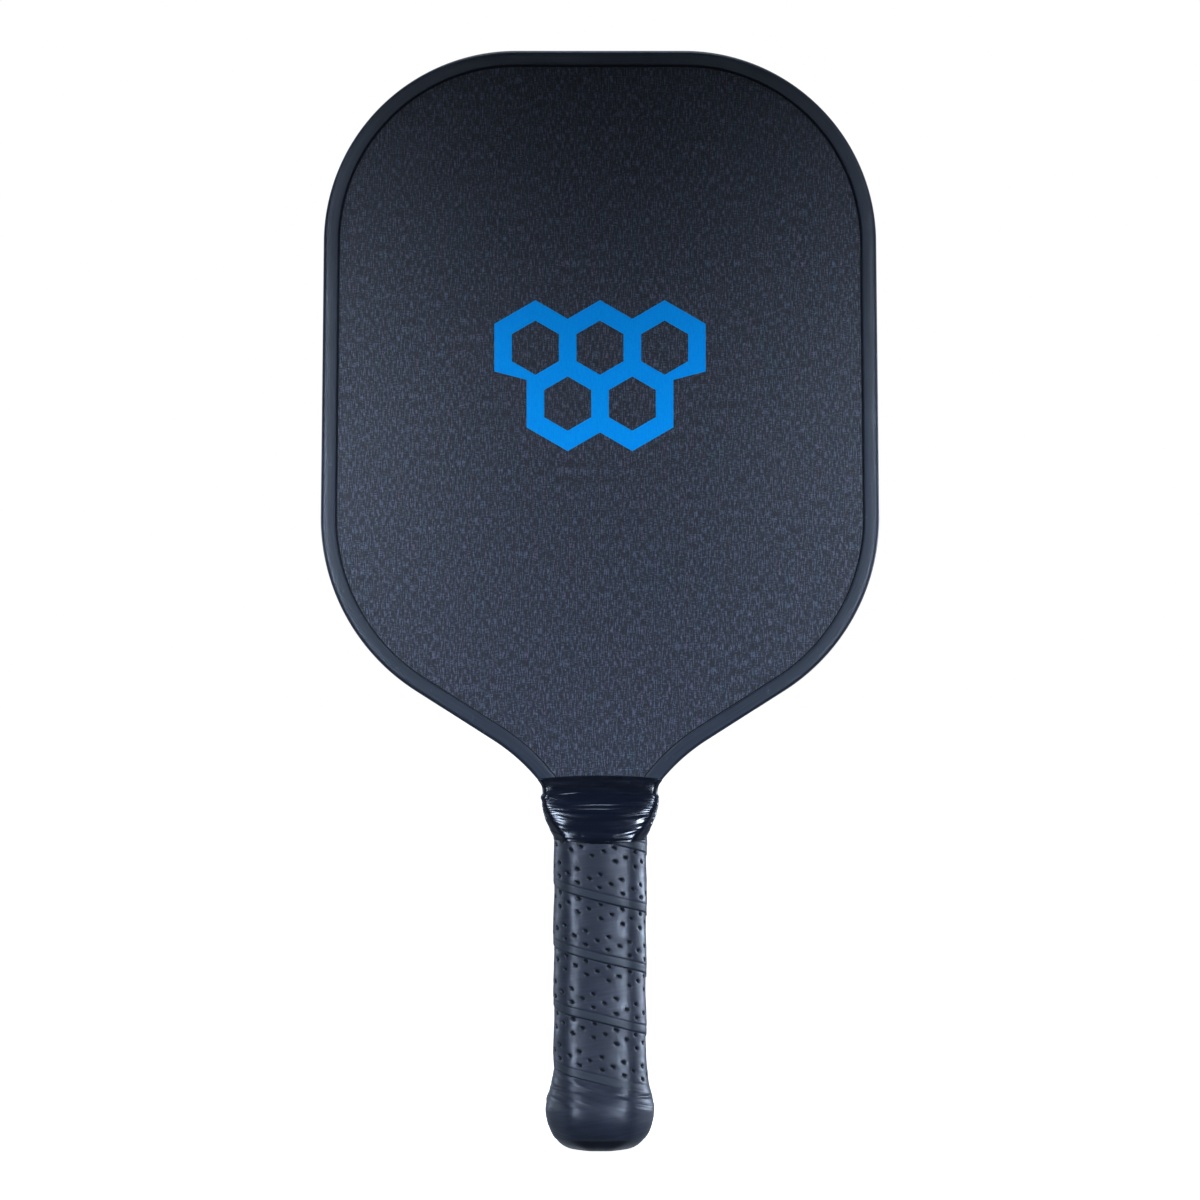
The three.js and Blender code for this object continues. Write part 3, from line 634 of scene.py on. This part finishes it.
# Centre and radius of the corner arc and of the shoulder arc. A straight flank leads down to the throat arc.
CORNER = (30.5, 330.0, 70.0)
SHOULDER = (27.1, 230.0, 74.5)
SWEEP = 57.5
FLANK = 33.5
THROAT_RADIUS = 69.5
THROAT_SWEEP = 21.5
FLANK_NORMAL = np.array([math.cos(math.radians(SWEEP)), -math.sin(math.radians(SWEEP))])
FLANK_RUN = np.array([FLANK_NORMAL[1], -FLANK_NORMAL[0]])
THROAT = np.array(SHOULDER[:2]) + FLANK_NORMAL * (SHOULDER[2] + THROAT_RADIUS) + FLANK_RUN * FLANK


def throat_half_width(z):
    """Half the width of the head at heights z in the throat."""
    return THROAT[0] - np.sqrt(THROAT_RADIUS ** 2 - (z - THROAT[1]) ** 2)


# ---- throat collar: a satin upper band, a glossy wrinkled sleeve and the tape end below it ------------

# The sleeve follows the handle's shoulders, which flare out from the grip while the depth ramps down to the
# head. Above it the band lies flat on the panel, and widens with the head's own outline.
COLLAR_FOOT = 17.0
FLARE_GROWTH = 4.3
FLARE_BOTTOM = 114.5
FLARE_TOP = 128.5
SLEEVE_STEP = 0.35
BAND_STANDOFF = 0.3
RAMP = (113.5, 133.0)
RAMP_DEPTH = (15.25, 8.72)
COLLAR_CHAMFER = (5.3, 1.7)
CHAMFER_FADE = (107.0, 127.0)
PULL_HEIGHT = 122.0
PULL_REACH = 4.5
PULL_CROWN = 0.16
SMILE = 0.013
SMILE_TOP = 117.0
ARCH = -0.008
ARCH_BOTTOM = 132.0
COLLAR_REACH = 20.0
# The collar's sections are worked out at these heights, and read in between.
TABLE_SPAN = (106, 140)
TABLE_STEP = 0.2


def ease(z, span, values):
    """A smooth step between two values over a span of heights."""
    return values[0] + (values[1] - values[0]) * smooth(z, *span)


def collar_half_width(z):
    turn = np.clip((z - FLARE_BOTTOM) / (FLARE_TOP - FLARE_BOTTOM), 0, 1)
    sleeve = COLLAR_FOOT + FLARE_GROWTH * np.sin(turn * np.pi / 2)
    sleeve = sleeve - SLEEVE_STEP * smooth(z, FLARE_TOP, FLARE_TOP + 0.9)
    head = throat_half_width(z) + BAND_STANDOFF
    softness = 0.5
    return softness * np.logaddexp(sleeve / softness, head / softness)


def collar_shell(z, outset):
    """Plan sections of the collar's outer surface at heights z, one height per ring."""
    crown = ease(z, (124.0, 135.0), (GRIP_CROWN, 0.02))
    crown = crown + PULL_CROWN * np.exp(-((z - PULL_HEIGHT) / PULL_REACH) ** 2)
    depth = ease(z, RAMP, RAMP_DEPTH)
    chamfer = ease(z, CHAMFER_FADE, COLLAR_CHAMFER)
    return sections(collar_half_width(z) + outset, depth + outset, chamfer, 4.5, crown)


def collar_wrinkles(x, y, z):
    """Outward relief of stretched tape: lines that smile at the bottom and arch at the top."""
    bend = ease(z, (SMILE_TOP, ARCH_BOTTOM), (SMILE, ARCH))
    line = z - bend * x ** 2 + 0.6 * (noise(x / 12, y / 12, z / 9, 31) - 0.5)
    wide = noise(line / 3.2, x / 40, y / 40, 32)
    narrow = noise(line / 1.3, x / 26, y / 26, 33)
    fine = noise(line / 0.55, x / 20, y / 20, 34)
    ridge = 1 - np.abs(2 * narrow - 1)
    return 0.66 * (wide - 0.5) + 0.28 * (ridge - 0.5) + 0.06 * (fine - 0.5)


def collar_piece(name, low, high, rows, outset, strength, material, thickness, tuck):
    """A sleeve whose lower and upper edges follow the height functions low and high of x."""
    t = np.linspace(0, 1, rows)
    guide = sections(np.array([COLLAR_REACH]), 12.0, 4.0)[0]
    bottom = low(guide[:, 0], guide[:, 1])
    top = high(guide[:, 0], guide[:, 1])
    z = bottom[None, :] + (top - bottom)[None, :] * t[:, None]
    fine = np.arange(*TABLE_SPAN, TABLE_STEP)
    table = collar_shell(fine, outset)
    place = np.clip((z - fine[0]) / TABLE_STEP, 0, len(fine) - 1.001)
    below = place.astype(int)
    share = (place - below)[..., None]
    column = np.broadcast_to(np.arange(AROUND)[None, :], z.shape)
    shell = table[below, column] * (1 - share) + table[below + 1, column] * share
    normal = outward(shell)
    relief = strength * collar_wrinkles(shell[..., 0], shell[..., 1], z)
    # The film is pulled flat where its lower edge grips what lies under it.
    relief = np.maximum(relief, (-0.05 - 0.5 * smooth(t, 0.10, 0.25))[:, None])
    lip = smooth(t, 0, 0.05) * (1 - smooth(t, 0.95, 1.0))
    relief = relief * lip[:, None] - tuck * (1 - lip[:, None])
    outer = np.concatenate([shell + normal * relief[..., None], z[..., None]], axis=-1)
    few = np.unique(np.concatenate([np.arange(0, rows, 8), [rows - 1]]))[::-1]
    inner = np.concatenate([shell - normal * thickness, z[..., None]], axis=-1)[few]
    return skin(name, np.vstack([outer, inner]), material, "loop", 75)


def sleeve_bottom(x, y):
    return 113.0 + 0.0026 * x ** 2 + 0.25 * (noise(x / 6, y / 6, x * 0, 41) - 0.5)


def sleeve_top(x, y):
    return 129.4 + 1.3 * (1 - (x / COLLAR_REACH) ** 2) + 0.4 * (noise(x / 5, y / 5, x * 0, 42) - 0.5)


def band_bottom(x, y):
    return sleeve_top(x, y) - 1.2


def band_top(x, y):
    arch = 1.9 * (1 - (x / COLLAR_REACH) ** 2) * (np.abs(y) > 3)
    return 134.6 + arch + 0.05 * (noise(x / 9, y / 4, x * 0, 43) - 0.5)


def tape_bottom(x, y):
    return sleeve_bottom(x, y) - 0.9


def tape_top(x, y):
    return sleeve_bottom(x, y) + 1.1


sleeve = collar_piece("throat_collar_sleeve", sleeve_bottom, sleeve_top, rows=110, outset=0.12,
                      strength=1.0, material=collar_gloss, thickness=0.75, tuck=0.12)
settle(sleeve, ["throat_collar"])
band = collar_piece("throat_collar_band", band_bottom, band_top, rows=44, outset=0.0,
                    strength=0.28, material=collar_satin, thickness=0.4, tuck=0.16)
settle(band, ["throat_collar"])
tape = collar_piece("finishing_tape_end", tape_bottom, tape_top, rows=14, outset=-0.07,
                    strength=0.1, material=collar_satin, thickness=0.2, tuck=0.1)
settle(tape, ["grip_finishing_tape"])

# ---- edge guard --------------------------------------------------------------------------------------

FACE_Y = -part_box("front_face_sheet")[0][1] / MM
GUARD_Y = -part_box("edge_guard")[0][1] / MM
LIP_INNER = 5.4
# The channel's inner floor lies this far over the face sheet, and its foot reaches up to the second height.
FLOOR_GAP = 0.05
FOOT_ZONE = 0.3


def right_edge(inset):
    """The right half of the head's outline, from the top down to the throat."""
    def arc(cx, cz, radius, start, end, count):
        angle = np.radians(np.linspace(start, end, count))
        return np.stack([cx + radius * np.cos(angle), cz + radius * np.sin(angle)], axis=1)

    top = arc(*CORNER[:2], CORNER[2] - inset, 90, 0, 64)
    side = arc(*SHOULDER[:2], SHOULDER[2] - inset, 0, -SWEEP, 44)
    throat = arc(*THROAT, THROAT_RADIUS + inset, 180 - SWEEP, 180 - SWEEP + THROAT_SWEEP, 18)

    def between(a, b, count):
        return a + (b - a) * np.linspace(0, 1, count + 1)[1:-1, None]

    middle = between(np.array([0.0, top[0][1]]), top[0], 10)
    return np.vstack([[[0.0, top[0][1]]], middle, top, between(top[-1], side[0], 26), side,
                      between(side[-1], throat[0], 10), throat])


def whole_edge(inset):
    right = right_edge(inset)
    left = right[:0:-1] * np.array([-1, 1])
    return np.vstack([left, right])


def round_corner(cx, cy, radius, start, end, count):
    angle = np.radians(np.linspace(start, end, count))
    return [(cx + radius * math.cos(a), cy + radius * math.sin(a)) for a in angle]


def guard_section():
    """Half of the channel's section as (distance inwards, distance outwards from the middle plane)."""
    outer = round_corner(1.5, GUARD_Y - 1.5, 1.5, 180, 90, 9)
    crown = [(2.6, GUARD_Y), (3.6, GUARD_Y - 0.02), (4.5, GUARD_Y - 0.08)]
    inner = round_corner(5.05, GUARD_Y - 0.55, 0.45, 80, 0, 6)
    foot = [(5.5, FACE_Y + 0.22), (5.62, FACE_Y + 0.14), (5.95, FACE_Y + 0.12), (5.98, FACE_Y + FLOOR_GAP)]
    return outer + crown + inner + foot + [(3.0, FACE_Y + FLOOR_GAP), (1.25, FACE_Y + FLOOR_GAP)]


def edge_guard():
    half = guard_section()
    section = half + [(inset, -y) for inset, y in reversed(half)]
    insets, levels = np.array(section).T
    edges = np.array([whole_edge(inset) for inset in insets])
    level = np.broadcast_to(levels[:, None], edges.shape[:2])
    rings = np.stack([edges[..., 0], level, edges[..., 1]], axis=-1).transpose(1, 0, 2)
    # A moulded strip bent round a hand-cut panel is never quite even.
    flat = np.zeros_like(rings[..., 0])
    sway = 0.10 * (noise(rings[..., 0] / 24, flat, rings[..., 2] / 24, 51) - 0.5)
    rings[..., 1] += np.sign(rings[..., 1]) * sway * (np.abs(rings[..., 1]) > FACE_Y + FOOT_ZONE)
    piece = skin("edge_guard_channel", rings[:, ::-1], guard_plastic, "fan", 50)
    layer = piece.data.color_attributes.new("strip", "FLOAT_COLOR", "POINT")
    gone = np.linalg.norm(np.diff(edges[0], axis=0, prepend=edges[0][:1]), axis=1).cumsum()
    lay = np.zeros((len(piece.data.vertices), 4))
    lay[:flat.size, 0] = np.broadcast_to(insets[::-1], flat.shape).ravel()
    lay[:flat.size, 1] = np.broadcast_to(gone[:, None], flat.shape).ravel()
    layer.data.foreach_set("color", lay.ravel())
    # The thin foot that shows inside each lip lies in the lip's shade and is coloured near black as painted
    # shade, the dark line along the lip's inner edge.
    piece.data.materials.append(gap_painted_shade)
    for face in piece.data.polygons:
        inside = min(lay[v, 0] for v in face.vertices) > LIP_INNER
        low = abs(face.center.y) < (FACE_Y + FOOT_ZONE) * MM
        if inside and low:
            face.material_index = 1
    settle(piece, ["edge_guard"])


edge_guard()

# ---- butt cap and badge ------------------------------------------------------------------------------

RECESS = 7.8
FOOT_BLEND = 4.2
CAP_TOP = 31.5
CAP_INSET = 0.25
SKIRT_INSET = TAPE_THICKNESS + 0.15
RECESS_DEPTH = 1.0
RECESS_BEVEL = 0.25
CAP_CHAMFER = 5.4
CHAMFER_GROWTH = 0.8
# The chamfer that makes an octagon even, as a share of its half width.
EVEN_CHAMFER = 2 - math.sqrt(2)
CAVITY = (14.1, 12.3, 5.5)
CAVITY_FLOOR = 3.7
BADGE_POINTS = 96


def circle_ring(radius, z):
    angle = np.arctan2(reference[:, 1], reference[:, 0])
    return np.stack([radius * np.cos(angle), radius * np.sin(angle), np.full(AROUND, z)], axis=1)


def butt_cap():
    turn = np.linspace(0, 1, 15)
    foot = (TAPE_FOOT - 0.2) * turn ** 2
    skirt = np.linspace(TAPE_FOOT, CAP_TOP, 24)
    heights = np.concatenate([foot, skirt])
    inset = np.concatenate([CAP_INSET * turn, np.full(len(skirt), SKIRT_INSET)])
    widths = handle_half_width(heights) - inset
    growth = np.clip(widths - 15.0, -1, 4)
    # The flat end is an even octagon, so that it holds the round recess. It takes on the handle's flatter
    # section on the way up.
    shaped = smooth(heights, 0.0, FOOT_BLEND)
    depths = widths - DEPTH_STEP * shaped
    chamfer = (CAP_CHAMFER + CHAMFER_GROWTH * growth) * shaped + EVEN_CHAMFER * widths * (1 - shaped)
    outer = solid_rings(sections(widths, depths, chamfer, crown=GRIP_CROWN * shaped), heights)
    hollow = sections(np.full(2, CAVITY[0]), CAVITY[1], CAVITY[2])
    cavity = solid_rings(hollow, np.array([CAP_TOP, CAVITY_FLOOR]))
    start = np.array([circle_ring(RECESS, RECESS_DEPTH), circle_ring(RECESS, RECESS_BEVEL),
                      circle_ring(RECESS + RECESS_BEVEL, 0.0)])
    piece = skin("butt_cap_shell", np.vstack([start, outer, cavity]), cap_plastic, "fan", 40)
    settle(piece, ["butt_cap"])


def badge():
    # Height and radius, from the hidden back round to the face, with one ring pressed into it.
    profile = [(0.7, 7.3), (0.7, 7.5), (0.3, 7.5), (0.06, 7.38), (0.0, 7.15), (0.0, 6.2), (0.14, 6.05),
               (0.14, 5.7), (0.0, 5.55), (0.0, 1.0)]
    angle = np.linspace(0, 2 * np.pi, BADGE_POINTS, endpoint=False)
    circle = np.stack([np.cos(angle), np.sin(angle)], axis=1)
    rings = np.array([np.column_stack([r * circle, np.full(BADGE_POINTS, z)]) for z, r in profile])
    piece = skin("butt_badge", rings[:, ::-1], badge_plastic, "fan", 35)
    settle(piece, ["butt_badge_disc"])


butt_cap()
badge()

# ---- floor -------------------------------------------------------------------------------------------

FLOOR_REACH = 6.0
FLOOR_LEVEL = -0.0003


def floor():
    mesh = bpy.data.meshes.new("floor")
    corners = [(-1, -1), (1, -1), (1, 1), (-1, 1)]
    corners = [(x * FLOOR_REACH, y * FLOOR_REACH, FLOOR_LEVEL) for x, y in corners]
    mesh.from_pydata(corners, [], [(0, 1, 2, 3)])
    piece = bpy.data.objects.new("floor", mesh)
    bpy.context.scene.collection.objects.link(piece)
    look = Look("studio_floor", 0.9, Emission_Color=(1, 1, 1, 1), Emission_Strength=0.97)
    fine = look.noise((3, 3, 3), 2, 0.5)
    mesh.materials.append(look.finish(look.ramp(fine, (0.3, 0.78), (0.7, 0.82))))
    # The paddle is dark and satin, so the pale floor carries its shadow but throws no glare back on it.
    piece.visible_diffuse = False
    piece.visible_glossy = False
    piece.visible_shadow = False


floor()
